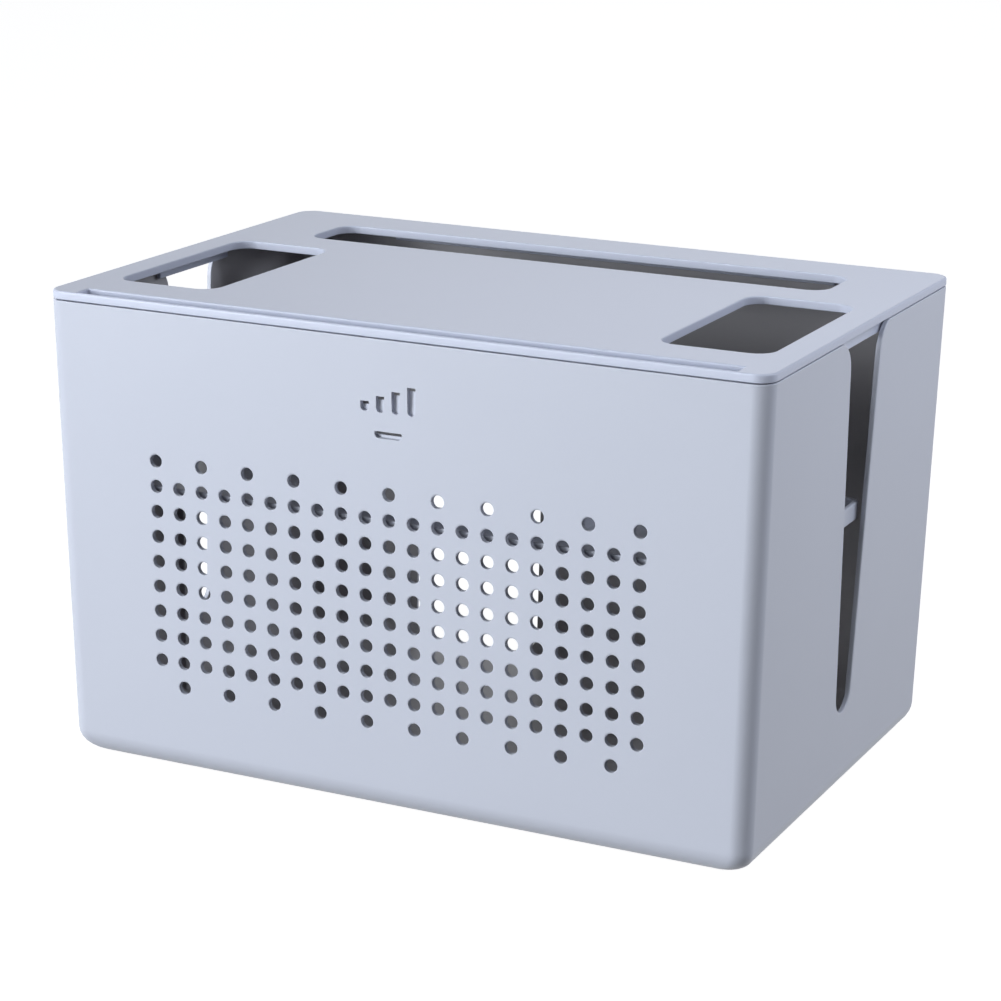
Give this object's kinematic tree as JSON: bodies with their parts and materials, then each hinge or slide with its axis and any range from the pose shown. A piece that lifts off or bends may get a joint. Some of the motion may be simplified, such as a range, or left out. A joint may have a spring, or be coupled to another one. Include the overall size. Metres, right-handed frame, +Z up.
{
  "type": "cable management box",
  "caption": "Desk box that hides a power strip and its leads, with lift-off hatched lid, router shelf, vented front, tapered side cable slots and rear windows.",
  "frame": {"origin": "middle of the footprint, on the surface that the pads stand on", "axes": "+X to the right along the box's length, +Y to the back, +Z up"},
  "size_m": [0.294, 0.199, 0.188],
  "materials": {
    "moulded_shell": "light cool grey moulded plastic, very fine satin grain",
    "moulded_lid": "light cool grey moulded plastic, very fine satin grain",
    "moulded_shelf": "light cool grey moulded plastic, satin",
    "anti_slip_pad": "dark grey matt rubber"
  },
  "bodies": {
    "tub": {"tub": "moulded_shell", "foot_pad_front_left": "anti_slip_pad", "foot_pad_front_right": "anti_slip_pad", "foot_pad_back_left": "anti_slip_pad", "foot_pad_back_right": "anti_slip_pad"},
    "lid": {"lid": "moulded_lid"},
    "shelf": {"shelf": "moulded_shelf", "shelf_rim": "moulded_shelf"}
  },
  "joints": [
    {"name": "lid_lift", "type": "slide", "parent": "tub", "child": "lid", "axis": [0, 0, 1], "range_m": [0, 0.1]},
    {"name": "shelf_lift", "type": "slide", "parent": "tub", "child": "shelf", "axis": [0, 0, 1], "range_m": [0, 0.06]}
  ]
}
